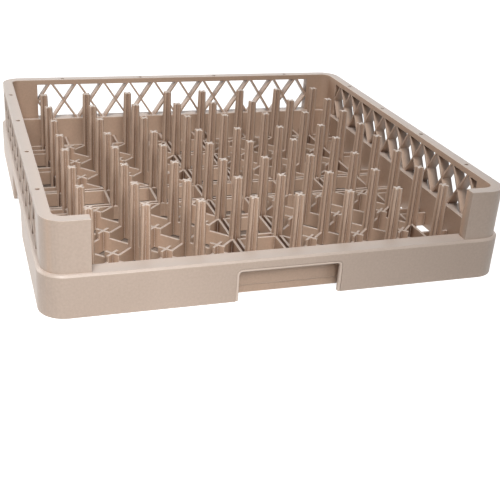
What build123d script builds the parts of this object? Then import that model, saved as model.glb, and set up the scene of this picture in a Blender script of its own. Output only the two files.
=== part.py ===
from build123d import *
import os

# Overall size
rack_side = 500.0
rack_height = 100.0
corner_radius = 27.0

# Lower double wall: an upside-down channel that runs all round
ledge_height = 45.5
ledge_thickness = 3.0
ledge_edge_chamfer = 2.0
ledge_width = 20.5
inner_corner_radius = 6.5
skirt_thickness = 2.6
inner_wall_thickness = 2.5

# Upper wall: three latticed sides and the two stubs of the open end
upper_inset = 3.7
upper_thickness = 12.4
upper_skin = 2.5
rim_depth = 6.7

# Lattice in the upper wall: crossed ribs between the ledge and the rim
lattice_pitch = 36.4
lattice_crossings = 12
lattice_rib = 2.5
lattice_foot_gap = 4.5

# Upright holes in the rim
rim_hole_diameter = 5.0
rim_hole_pitch = 110.0
rim_holes_per_side = 4

# Hand notches in the skirt, one on each side
notch_width = 115.0
notch_height = 35.6
notch_corner_radius = 6.5

# Peg field: four blocks of pegs with an aisle between them both ways
block_pegs = 4
peg_pitch = 56.8
aisle_width = 50.4
peg_top = 90.0
peg_foot_span = 14.6
peg_top_span = 10.4
diagonal = 45.0

# Open floor: upright ribs, which also set the thickness of the webs that rise from them
floor_bottom = 1.0
floor_top = 18.0
floor_rib = 2.6

# Low crosses where the diagonal ribs meet between the pegs
cross_top = 25.0
cross_span = 18.0

# Twin ribs along the edges of the aisles, one to either side of the peg line, with a web between
twin_gap = 6.4
twin_web_top = 12.0

# Rungs: pairs of short ribs across the aisles and out to the walls
aisle_rung_gap = 9.0
wall_rung_pitch = 68.6
wall_rung_gap = 15.0
wall_rung_pairs = 6

# Sizes that follow from the ones above
half_side = rack_side / 2
inner_side = rack_side - 2 * ledge_width
cavity_top = ledge_height - ledge_thickness
upper_side = rack_side - 2 * upper_inset
upper_radius = corner_radius - upper_inset
upper_inside = upper_side - 2 * upper_thickness
upper_inside_radius = upper_radius - upper_thickness
window_length = (lattice_crossings - 1) * lattice_pitch
window_top = rack_height - rim_depth
window_height = window_top - ledge_height
rim_line = upper_side / 2 - upper_thickness / 2
first_peg = aisle_width / 2
block_row = [first_peg + k * peg_pitch for k in range(block_pegs)]
last_peg = block_row[-1]
peg_row = [-place for place in reversed(block_row)] + block_row
middle_rows = [-place for place in block_row[1:-1]] + block_row[1:-1]
aisle_edge = first_peg - twin_gap / 2
closed_sides = (90, 180, 270)
all_sides = (0, 90, 180, 270)


def centred_row(count, pitch):
    """Places of a row of equal steps about zero."""
    return [(k - (count - 1) / 2) * pitch for k in range(count)]


def pairs_about(places, gap):
    """Two places for each one given, half the gap to either side."""
    return [place + side * gap / 2 for place in places for side in (-1, 1)]


def rounded_block(side, radius, bottom, top):
    """Upright block on a square with rounded corners."""
    return extrude(Pos(0, 0, bottom) * RectangleRounded(side, side, radius), top - bottom)


def strip(start, end, width):
    """Plan of a straight rib between two points."""
    start = Vector(*start)
    run = Vector(*end) - start
    middle = start + run / 2
    turn = Vector(1, 0, 0).get_signed_angle(run, Vector(0, 0, 1))
    return Pos(middle.X, middle.Y) * Rot(0, 0, turn) * Rectangle(run.length, width)


def turned(shape, turns):
    """Copies of a shape made at the front, turned about the middle."""
    return [Rot(0, 0, turn) * shape for turn in turns]


def double_wall():
    """Skirt, ledge and inner wall, hollow and open below."""
    body = rounded_block(rack_side, corner_radius, 0, ledge_height)
    body = chamfer(body.edges().group_by(Axis.Z)[-1], ledge_edge_chamfer)
    body -= rounded_block(inner_side, inner_corner_radius, 0, ledge_height)
    cavity_side = rack_side - 2 * skirt_thickness
    cavity = rounded_block(cavity_side, corner_radius - skirt_thickness, 0, cavity_top)
    wall_side = inner_side + 2 * inner_wall_thickness
    wall_radius = inner_corner_radius + inner_wall_thickness
    cavity -= rounded_block(wall_side, wall_radius, 0, cavity_top)
    return body - cavity


def hand_notch():
    """Cutter for the hand notch in the front of the skirt."""
    outline = Pos(0, notch_height / 2) * Rectangle(notch_width, notch_height)
    outline = fillet(outline.vertices().group_by(Axis.Y)[-1], notch_corner_radius)
    front = Plane((0, -half_side, 0), x_dir=(1, 0, 0), z_dir=(0, -1, 0))
    return extrude(front * outline, -skirt_thickness)


def upper_ring():
    """Plain wall above the ledge."""
    ring = rounded_block(upper_side, upper_radius, ledge_height, rack_height)
    return ring - rounded_block(upper_inside, upper_inside_radius, ledge_height, rack_height)


def corner_hollows():
    """Cutters for the space inside the upper wall at the corners, open to the channel."""
    hollow = rounded_block(
        upper_side - 2 * upper_skin, upper_radius - upper_skin, cavity_top, window_top
    )
    hollow -= rounded_block(
        upper_inside + 2 * upper_skin, upper_inside_radius + upper_skin, cavity_top, window_top
    )
    past_window = window_length / 2 + upper_skin
    reach = half_side - past_window
    middle = past_window + reach / 2
    corner = Pos(middle, middle, rack_height / 2) * Box(reach, reach, rack_height)
    return turned(hollow & corner, all_sides)


def lattice_openings():
    """Cutters for the spaces between the crossed ribs, made at the front."""
    middle = ledge_height + window_height / 2
    lean = Vector(lattice_pitch - lattice_foot_gap, window_height, 0)
    slope = Vector(1, 0, 0).get_angle(lean)
    window = Pos(0, middle) * Rectangle(window_length, window_height)
    ribs = [
        Pos(x, middle) * Rot(0, 0, turn) * Rectangle(2 * lean.length, lattice_rib)
        for x in centred_row(lattice_crossings, lattice_pitch)
        for turn in (slope, -slope)
    ]
    front = Plane((0, -upper_side / 2, 0), x_dir=(1, 0, 0), z_dir=(0, -1, 0))
    return extrude(front * (window - ribs), -upper_thickness)


def open_end():
    """Cutter that takes the upper wall away at the front, between the stubs."""
    low = Align.MIN
    gap = Box(window_length, upper_thickness, rack_height, align=(Align.CENTER, low, low))
    return Pos(0, -upper_side / 2, ledge_height) * gap


def rim_holes():
    """Cutters for the holes through the rim, made at the front."""
    hole = Cylinder(rim_hole_diameter / 2, rim_depth, align=(Align.CENTER, Align.CENTER, Align.MIN))
    return [Pos(x, -rim_line, window_top) * hole for x in centred_row(rim_holes_per_side, rim_hole_pitch)]


def diagonal_strips():
    """Plan of the diagonal ribs that run from peg to peg in the four blocks."""
    strips = []
    for skip in range(2 - block_pegs, block_pegs - 1):
        first = block_row[max(skip, 0)], block_row[max(-skip, 0)]
        last = block_row[block_pegs - 1 + min(skip, 0)], block_row[block_pegs - 1 - max(skip, 0)]
        strips.append(strip(first, last, floor_rib))
        rising = (first[0], block_row[0] + last_peg - first[1])
        falling = (last[0], block_row[0] + last_peg - last[1])
        strips.append(strip(rising, falling, floor_rib))
    return [copy for one in strips for copy in turned(one, all_sides)]


def straight_strips(lines, width):
    """Plan of ribs from wall to wall, both ways."""
    reach = inner_side / 2
    along = [strip((-reach, y), (reach, y), width) for y in lines]
    across = [strip((x, -reach), (x, reach), width) for x in lines]
    return along + across


def rung_strips():
    """Plan of the rungs across both aisles and from the blocks to the walls."""
    reach = inner_side / 2
    rungs = []
    for place in pairs_about(middle_rows, aisle_rung_gap):
        rungs.append(strip((-aisle_edge, place), (aisle_edge, place), floor_rib))
        rungs.append(strip((place, -aisle_edge), (place, aisle_edge), floor_rib))
    for place in pairs_about(centred_row(wall_rung_pairs, wall_rung_pitch), wall_rung_gap):
        rungs.extend(turned(strip((place, -last_peg), (place, -reach), floor_rib), all_sides))
    return rungs


def floor():
    """All floor ribs as one open grid, with the lower webs between the twin ribs."""
    aisle_lines = (-first_peg, first_peg)
    lines = [-last_peg, *pairs_about(aisle_lines, twin_gap), last_peg]
    ribs = Sketch() + diagonal_strips() + straight_strips(lines, floor_rib) + rung_strips()
    webs = Sketch() + straight_strips(aisle_lines, twin_gap)
    grid = extrude(Pos(0, 0, floor_bottom) * ribs, floor_top - floor_bottom)
    return grid + extrude(Pos(0, 0, floor_bottom) * webs, twin_web_top - floor_bottom)


def crossed_webs(foot_span, top_span, top):
    """Upright of two webs crossed on the diagonals, flush with the ribs that it stands in."""
    outline = Polygon(
        (-foot_span / 2, floor_bottom),
        (foot_span / 2, floor_bottom),
        (top_span / 2, top),
        (-top_span / 2, top),
        align=None,
    )
    web = extrude(Plane.XZ * outline, floor_rib / 2, both=True)
    return Rot(0, 0, diagonal) * web + Rot(0, 0, -diagonal) * web


def pegs():
    """The peg at every crossing of the peg rows."""
    peg = crossed_webs(peg_foot_span, peg_top_span, peg_top)
    return [Pos(x, y) * peg for x in peg_row for y in peg_row]


def low_crosses():
    """The low cross in the middle of every square of four pegs."""
    cross = crossed_webs(cross_span, cross_span, cross_top)
    block_middles = [place + peg_pitch / 2 for place in block_row[:-1]]
    middles = [-place for place in block_middles] + block_middles
    return [Pos(x, y) * cross for x in middles for y in middles]


def tray_rack():
    """The rack as one moulding."""
    walls = double_wall() + upper_ring()
    walls -= corner_hollows()
    walls -= turned(lattice_openings(), closed_sides)
    walls -= open_end()
    walls -= turned(hand_notch(), all_sides)
    walls -= [copy for hole in rim_holes() for copy in turned(hole, closed_sides)]
    return walls + floor() + pegs() + low_crosses()


rack = tray_rack()
os.makedirs("parts", exist_ok=True)
export_step(rack, "parts/tray_rack.step")
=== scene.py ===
"""Looks of the tray rack: soft edges, moulded plastic, a pale floor, studio light, the camera."""
import math

import bpy
from mathutils import Matrix, Vector


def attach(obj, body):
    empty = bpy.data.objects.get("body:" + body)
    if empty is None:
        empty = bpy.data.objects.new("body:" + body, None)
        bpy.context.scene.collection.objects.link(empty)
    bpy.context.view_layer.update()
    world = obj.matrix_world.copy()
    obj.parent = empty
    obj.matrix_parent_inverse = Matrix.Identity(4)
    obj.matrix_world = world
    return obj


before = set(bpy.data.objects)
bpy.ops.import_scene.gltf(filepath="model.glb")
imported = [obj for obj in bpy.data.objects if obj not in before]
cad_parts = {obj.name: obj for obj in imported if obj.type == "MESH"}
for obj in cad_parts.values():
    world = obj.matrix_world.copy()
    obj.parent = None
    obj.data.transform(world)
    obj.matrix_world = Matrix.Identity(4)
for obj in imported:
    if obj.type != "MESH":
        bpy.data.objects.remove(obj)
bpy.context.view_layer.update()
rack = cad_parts["tray_rack"]

# Edge softening, in metres
weld_distance = 0.00001
flat_angle = math.radians(1.0)
sharp_angle = math.radians(30.0)
edge_round = 0.0005
edge_steps = 2

# The notch trim is the same on all four sides, a quarter turn apart
side_count = 4
quarter_turn = 90.0

# Edge of the front hand notch, in metres
wall_place = -0.25
notch_half = 0.0575
notch_top = 0.0356
notch_round = 0.0065
notch_foot = 0.0003
arc_steps = 8

# Section of the notch's lip: how far each point lies into the notch and behind the wall's face
lip_profile = (
    (-0.0003, 0.0012), (0.0002, 0.0012), (0.0004, 0.0003), (0.0010, 0.0001), (0.0019, 0.0001),
    (0.0025, 0.0004), (0.0029, 0.0010), (0.0030, 0.0018), (0.0030, 0.0042), (-0.0003, 0.0042),
)

# Opposite corners of the raised panel on the inner wall behind the front notch
panel_low = (-0.085, -0.2336, 0.0092)
panel_high = (0.085, -0.2318, 0.0420)

# Plastic colours as linear light, with clouds of a paler tone: the plastic's own tone inside, and
# a paler, greyer painted sheen on the outer faces
white = (1.0, 1.0, 1.0, 1.0)
plastic_colour = (0.53, 0.372, 0.270)
plastic_pale = (0.63, 0.450, 0.335)
outer_sheen_colour = (0.453, 0.350, 0.281)
outer_sheen_pale = (0.542, 0.428, 0.353)
outer_sheen_half = 0.237
outer_sheen_fade = 0.006
# Share of the painted groove shade and painted edge highlights kept on the outer faces
outside_share = 0.25

# Clouds and mottling: noise cells per metre, and the part of the noise that changes the tone
cloud_cells = 9.0
cloud_detail = 3.0
mottle_cells = 420.0
fine_detail = 2.0
tone_low = 0.3
tone_high = 0.7
tone_share = 0.5

# Painted sheen on tops: upward part of the normal at which the painted sheen starts and is full
top_sheen_colour = (0.585, 0.500, 0.445)
top_sheen_share = 0.75
top_sheen_start = 0.5
top_sheen_full = 0.95
# The notch lip is painted paler all over, as a painted highlight on the bead
lip_highlight_colour = (0.68, 0.555, 0.465)
lip_highlight_share = 0.9

# Painted highlights on edges: match of the rounded and the flat normal at which they start and are
# full
edge_highlight_colour = (0.86, 0.72, 0.61)
edge_highlight_share = 0.9
edge_reach = 0.0011
edge_samples = 6
edge_highlight_start = 0.995
edge_highlight_full = 0.88

# Painted shade in grooves and corners: open share of the surroundings at which it starts and is
# full
groove_shade_colour = (0.20, 0.105, 0.065)
groove_shade_share = 0.95
groove_reach = 0.008
groove_samples = 8
groove_shade_start = 0.85
groove_shade_full = 0.35

# Sheen and moulded grain
specular_level = 0.6
patch_cells = 55.0
roughness_low = 0.36
roughness_high = 0.46
grain_cells = 1100.0
grain_depth = 0.00012
grain_strength = 0.3

# Floor and surroundings: the floor is pale outside the rack and has painted shade under it
floor_half = 6.0
floor_colour = (0.60, 0.60, 0.60)
floor_roughness = 0.9
floor_glow = 0.75
painted_shade_colour = (0.20, 0.155, 0.125)
painted_shade_middle = (-0.015, 0.0, 0.0)
painted_shade_half = 0.205
painted_shade_fade = 0.028
world_strength = 0.07

# High soft light: its direction in degrees, its width in degrees and its strength
high_turn = -26.0
high_height = 61.0
high_spread = 18.0
high_strength = 1.88

# Soft boxes: place, aim, width, height, spread in degrees and power
soft_boxes = {
    "front box": ((-0.14, -0.85, 0.56), (-0.17, -0.10, 0.04), 0.30, 0.30, 50.0, 0.41),
    "back box": ((0.3, 2.2, 0.95), (0.0, 0.0, 0.05), 3.0, 1.2, 180.0, 7.0),
    "left box": ((-1.8, 1.2, 0.65), (-0.25, 0.0, 0.05), 1.2, 1.0, 180.0, 17.0),
}

# Camera, in metres, with its lens for an image as wide as its sensor
camera_place = Vector((-0.3095, -0.9844, 0.4303))
camera_forward = Vector((0.3049, 0.8490, -0.4315))
camera_right = Vector((0.9491, -0.3087, 0.0632))
sensor_width = 36.0
image_width = 500.0
focal_pixels = 878.9


def flat_shading(piece):
    """Shades every face flat by a modifier, so that the mesh stays as it is."""
    group = bpy.data.node_groups.new("flat shading", "GeometryNodeTree")
    for way in ("INPUT", "OUTPUT"):
        group.interface.new_socket("Geometry", in_out=way, socket_type="NodeSocketGeometry")
    start = group.nodes.new("NodeGroupInput")
    flat = group.nodes.new("GeometryNodeSetShadeSmooth")
    flat.inputs["Shade Smooth"].default_value = False
    end = group.nodes.new("NodeGroupOutput")
    group.links.new(start.outputs["Geometry"], flat.inputs["Geometry"])
    group.links.new(flat.outputs["Geometry"], end.inputs["Geometry"])
    piece.modifiers.new("flat shading", "NODES").node_group = group


def soften(piece):
    """Joins the faces of the moulding and rounds its sharp edges a little."""
    weld = piece.modifiers.new("weld", "WELD")
    weld.merge_threshold = weld_distance
    flat = piece.modifiers.new("flat faces", "DECIMATE")
    flat.decimate_type = "DISSOLVE"
    flat.angle_limit = flat_angle
    bevel = piece.modifiers.new("edges", "BEVEL")
    bevel.width = edge_round
    bevel.segments = edge_steps
    bevel.limit_method = "ANGLE"
    bevel.angle_limit = sharp_angle


def notch_path():
    """Points along the edge of the front hand notch, each with the direction into the notch."""
    height = notch_top - notch_round
    path = [(-notch_half, notch_foot, 1.0, 0.0)]
    for side, first in ((-1, 2 * quarter_turn), (1, quarter_turn)):
        middle = side * (notch_half - notch_round)
        for step in range(arc_steps + 1):
            turn = math.radians(first - quarter_turn * step / arc_steps)
            across, up = math.cos(turn), math.sin(turn)
            path.append((middle + notch_round * across, height + notch_round * up, -across, -up))
    path.append((notch_half, notch_foot, -1.0, 0.0))
    return path


def notch_lip():
    """Corners and faces of the rounded lip of the front hand notch."""
    path = notch_path()
    count = len(lip_profile)
    corners = [
        (x + dx * inward, wall_place + behind, z + dz * inward)
        for x, z, dx, dz in path
        for inward, behind in lip_profile
    ]
    faces = []
    for step in range(len(path) - 1):
        here, there = step * count, (step + 1) * count
        for j in range(count):
            k = (j + 1) % count
            faces.append((here + j, here + k, there + k, there + j))
    last = (len(path) - 1) * count
    faces.append(tuple(reversed(range(count))))
    faces.append(tuple(range(last, last + count)))
    return corners, faces


def notch_panel():
    """Corners and faces of the raised panel on the inner wall behind the front hand notch."""
    (x0, y0, z0), (x1, y1, z1) = panel_low, panel_high
    corners = [(x, y, z) for x in (x0, x1) for y in (y0, y1) for z in (z0, z1)]
    faces = [(0, 1, 3, 2), (4, 6, 7, 5), (0, 4, 5, 1), (2, 3, 7, 6), (0, 2, 6, 4), (1, 5, 7, 3)]
    return corners, faces


def four_sides(name, shape, material):
    """A piece with one copy of a front shape on each side of the rack."""
    corners, faces = [], []
    for side in range(side_count):
        turn = Matrix.Rotation(math.radians(quarter_turn * side), 3, "Z")
        start = len(corners)
        corners.extend(turn @ Vector(corner) for corner in shape[0])
        faces.extend(tuple(start + index for index in face) for face in shape[1])
    mesh = bpy.data.meshes.new(name)
    mesh.from_pydata(corners, [], faces)
    mesh.materials.append(material)
    piece = bpy.data.objects.new(name, mesh)
    bpy.context.scene.collection.objects.link(piece)
    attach(piece, "root")


def math_node(tree, operation, first, second):
    """One step of arithmetic on sockets or plain numbers."""
    node = tree.nodes.new("ShaderNodeMath")
    node.operation = operation
    for value, socket in zip((first, second), node.inputs):
        if isinstance(value, (int, float)):
            socket.default_value = value
        else:
            tree.links.new(value, socket)
    return node.outputs["Value"]


def noise(tree, place, cells, detail):
    """A noise texture in the object's own space."""
    node = tree.nodes.new("ShaderNodeTexNoise")
    node.inputs["Scale"].default_value = cells
    node.inputs["Detail"].default_value = detail
    tree.links.new(place, node.inputs["Vector"])
    return node.outputs["Fac"]


def blend(tree, share, first, second):
    """A mix of two colours, each given by its numbers or by a socket."""
    node = tree.nodes.new("ShaderNodeMix")
    node.data_type = "RGBA"
    for value, socket in ((first, node.inputs["A"]), (second, node.inputs["B"])):
        if isinstance(value, tuple):
            socket.default_value = (*value, 1.0)
        else:
            tree.links.new(value, socket)
    tree.links.new(share, node.inputs["Factor"])
    return node.outputs["Result"]


def ramp(tree, value, start, end, share, base=0.0):
    """A base up to a start value, changing to a share at an end value."""
    node = tree.nodes.new("ShaderNodeMapRange")
    node.inputs["From Min"].default_value = start
    node.inputs["From Max"].default_value = end
    node.inputs["To Min"].default_value = base
    node.inputs["To Max"].default_value = share
    tree.links.new(value, node.inputs["Value"])
    return node.outputs["Result"]


def outside_square(tree, half, fade):
    """Nought inside a square about the piece's origin, one outside it."""
    place = tree.nodes.new("ShaderNodeTexCoord").outputs["Object"]
    parts = tree.nodes.new("ShaderNodeSeparateXYZ")
    tree.links.new(place, parts.inputs["Vector"])
    across = math_node(tree, "ABSOLUTE", parts.outputs["X"], 0)
    along = math_node(tree, "ABSOLUTE", parts.outputs["Y"], 0)
    return ramp(tree, math_node(tree, "MAXIMUM", across, along), half, half + fade, 1.0)


def seen_rays(tree):
    """One for rays that show the surroundings, straight or in a reflection."""
    path = tree.nodes.new("ShaderNodeLightPath")
    seen = math_node(tree, "MAXIMUM", path.outputs["Is Camera Ray"], path.outputs["Is Glossy Ray"])
    return math_node(tree, "MAXIMUM", seen, path.outputs["Is Transmission Ray"])


def upward(tree):
    """The share of painted sheen on faces that look up."""
    normal = tree.nodes.new("ShaderNodeNewGeometry").outputs["True Normal"]
    parts = tree.nodes.new("ShaderNodeSeparateXYZ")
    tree.links.new(normal, parts.inputs["Vector"])
    return ramp(tree, parts.outputs["Z"], top_sheen_start, top_sheen_full, top_sheen_share)


def edges(tree, rounded):
    """The share of painted highlight along the edges, where the rounded surface leaves the flat
    one.
    """
    sharp = tree.nodes.new("ShaderNodeNewGeometry").outputs["True Normal"]
    match = tree.nodes.new("ShaderNodeVectorMath")
    match.operation = "DOT_PRODUCT"
    tree.links.new(rounded, match.inputs[0])
    tree.links.new(sharp, match.inputs[1])
    return ramp(tree, match.outputs["Value"], edge_highlight_start, edge_highlight_full, edge_highlight_share)


def groove_shade(tree):
    """The share of painted shade in narrow grooves and corners."""
    open_share = tree.nodes.new("ShaderNodeAmbientOcclusion")
    open_share.samples = groove_samples
    open_share.only_local = True
    open_share.inputs["Distance"].default_value = groove_reach
    return ramp(tree, open_share.outputs["AO"], groove_shade_start, groove_shade_full, groove_shade_share)


def moulded_plastic(name, painted_pale_tone, least_painted_pale=0.0):
    """Matte plastic with a fine grain and clouds of colour, a painted sheen on tops and outer
    faces, painted highlights on edges and painted shade in grooves.
    """
    material = bpy.data.materials.new(name)
    material.use_nodes = True
    tree = material.node_tree
    shader = tree.nodes["Principled BSDF"]
    shader.inputs["Specular IOR Level"].default_value = specular_level
    place = tree.nodes.new("ShaderNodeTexCoord").outputs["Object"]
    bevel = tree.nodes.new("ShaderNodeBevel")
    bevel.samples = edge_samples
    bevel.inputs["Radius"].default_value = edge_reach
    rounded = bevel.outputs["Normal"]

    cloud = noise(tree, place, cloud_cells, cloud_detail)
    cloud = ramp(tree, cloud, tone_low, tone_high, tone_share)
    mottle = noise(tree, place, mottle_cells, fine_detail)
    mottle = ramp(tree, mottle, tone_low, tone_high, tone_share)
    tone = math_node(tree, "ADD", cloud, mottle)
    # The plastic's own tone inside, and a paler, greyer painted sheen on the outer faces
    inner_tone = blend(tree, tone, plastic_colour, plastic_pale)
    outer_sheen_tone = blend(tree, tone, outer_sheen_colour, outer_sheen_pale)
    outside = outside_square(tree, outer_sheen_half, outer_sheen_fade)
    skin = blend(tree, outside, inner_tone, outer_sheen_tone)
    inside = ramp(tree, outside, 0.0, 1.0, outside_share, 1.0)
    # Painted shade in grooves and corners, less of it on the outer faces
    groove_shade_mask = math_node(tree, "MULTIPLY", groove_shade(tree), inside)
    skin = blend(tree, groove_shade_mask, skin, groove_shade_colour)
    # Painted sheen on faces that look up; on the notch lip, a painted highlight all over
    painted_pale_mask = math_node(tree, "MAXIMUM", upward(tree), least_painted_pale)
    skin = blend(tree, painted_pale_mask, skin, painted_pale_tone)
    # Painted highlights along the edges, less of them on the outer faces
    edge_highlight_mask = math_node(tree, "MULTIPLY", edges(tree, rounded), inside)
    tree.links.new(blend(tree, edge_highlight_mask, skin, edge_highlight_colour), shader.inputs["Base Color"])

    patches = noise(tree, place, patch_cells, fine_detail)
    rough = ramp(tree, patches, 0.0, 1.0, roughness_high, roughness_low)
    tree.links.new(rough, shader.inputs["Roughness"])

    grain = tree.nodes.new("ShaderNodeBump")
    grain.inputs["Strength"].default_value = grain_strength
    grain.inputs["Distance"].default_value = grain_depth
    tree.links.new(noise(tree, place, grain_cells, fine_detail), grain.inputs["Height"])
    tree.links.new(rounded, grain.inputs["Normal"])
    tree.links.new(grain.outputs["Normal"], shader.inputs["Normal"])
    return material


def floor():
    """Pale floor with painted shade under the rack; its origin is in the middle of that painted
    shade.
    """
    mesh = bpy.data.meshes.new("floor")
    h = floor_half
    mesh.from_pydata([(-h, -h, 0), (h, -h, 0), (h, h, 0), (-h, h, 0)], [], [(0, 1, 2, 3)])
    piece = bpy.data.objects.new("floor", mesh)
    piece.location = painted_shade_middle
    bpy.context.scene.collection.objects.link(piece)
    material = bpy.data.materials.new("floor")
    material.use_nodes = True
    tree = material.node_tree
    shader = tree.nodes["Principled BSDF"]
    shader.inputs["Roughness"].default_value = floor_roughness
    # Painted shade on the floor under the rack
    outside = outside_square(tree, painted_shade_half, painted_shade_fade)
    tree.links.new(blend(tree, outside, painted_shade_colour, floor_colour), shader.inputs["Base Color"])
    glow = math_node(tree, "MULTIPLY", outside, seen_rays(tree))
    glow = math_node(tree, "MULTIPLY", glow, floor_glow)
    shader.inputs["Emission Color"].default_value = white
    tree.links.new(glow, shader.inputs["Emission Strength"])
    mesh.materials.append(material)


def surroundings():
    """White surroundings for the camera, softer light for the rack."""
    world = bpy.data.worlds.new("studio")
    bpy.context.scene.world = world
    world.use_nodes = True
    tree = world.node_tree
    soft = tree.nodes["Background"]
    soft.inputs["Color"].default_value = white
    soft.inputs["Strength"].default_value = world_strength
    seen = tree.nodes.new("ShaderNodeBackground")
    seen.inputs["Color"].default_value = white
    mix = tree.nodes.new("ShaderNodeMixShader")
    tree.links.new(seen_rays(tree), mix.inputs["Fac"])
    tree.links.new(soft.outputs["Background"], mix.inputs[1])
    tree.links.new(seen.outputs["Background"], mix.inputs[2])
    tree.links.new(mix.outputs["Shader"], tree.nodes["World Output"].inputs["Surface"])


def aim(holder, source, target):
    """Turns a lamp so that it shines from one point to another."""
    holder.location = source
    holder.rotation_euler = (Vector(target) - Vector(source)).to_track_quat("-Z", "Y").to_euler()


def lamp(name, kind):
    """A lamp of one kind and its holder."""
    light = bpy.data.lights.new(name, kind)
    holder = bpy.data.objects.new(name, light)
    bpy.context.scene.collection.objects.link(holder)
    return light, holder


def high_light():
    """The soft light from above and in front."""
    light, holder = lamp("high light", "SUN")
    light.angle = math.radians(high_spread)
    light.energy = high_strength
    turn = math.radians(high_turn)
    height = math.radians(high_height)
    level = math.cos(height)
    source = (math.sin(turn) * level, -math.cos(turn) * level, math.sin(height))
    aim(holder, source, (0, 0, 0))


def soft_box(name, place, target, width, height, spread, power):
    """A rectangular soft light."""
    light, holder = lamp(name, "AREA")
    light.shape = "RECTANGLE"
    light.size = width
    light.size_y = height
    light.spread = math.radians(spread)
    light.energy = power
    aim(holder, place, target)


def camera():
    """The photograph's viewpoint."""
    data = bpy.data.cameras.new("camera")
    data.sensor_width = sensor_width
    data.lens = focal_pixels * sensor_width / image_width
    holder = bpy.data.objects.new("camera", data)
    bpy.context.scene.collection.objects.link(holder)
    back = -camera_forward.normalized()
    right = (camera_right - back * camera_right.dot(back)).normalized()
    up = back.cross(right)
    turn = Matrix((right, up, back)).transposed()
    holder.matrix_world = Matrix.Translation(camera_place) @ turn.to_4x4()
    bpy.context.scene.camera = holder


flat_shading(rack)
soften(rack)
plastic = moulded_plastic("moulded plastic", top_sheen_colour)
rack.data.materials.clear()
rack.data.materials.append(plastic)
# The notch lips take the painted highlight
four_sides("notch_lips", notch_lip(), moulded_plastic("plastic with painted highlight", lip_highlight_colour, lip_highlight_share))
four_sides("notch_panels", notch_panel(), plastic)
floor()
surroundings()
high_light()
for name, box in soft_boxes.items():
    soft_box(name, *box)
camera()
bpy.context.scene.view_settings.view_transform = "Standard"
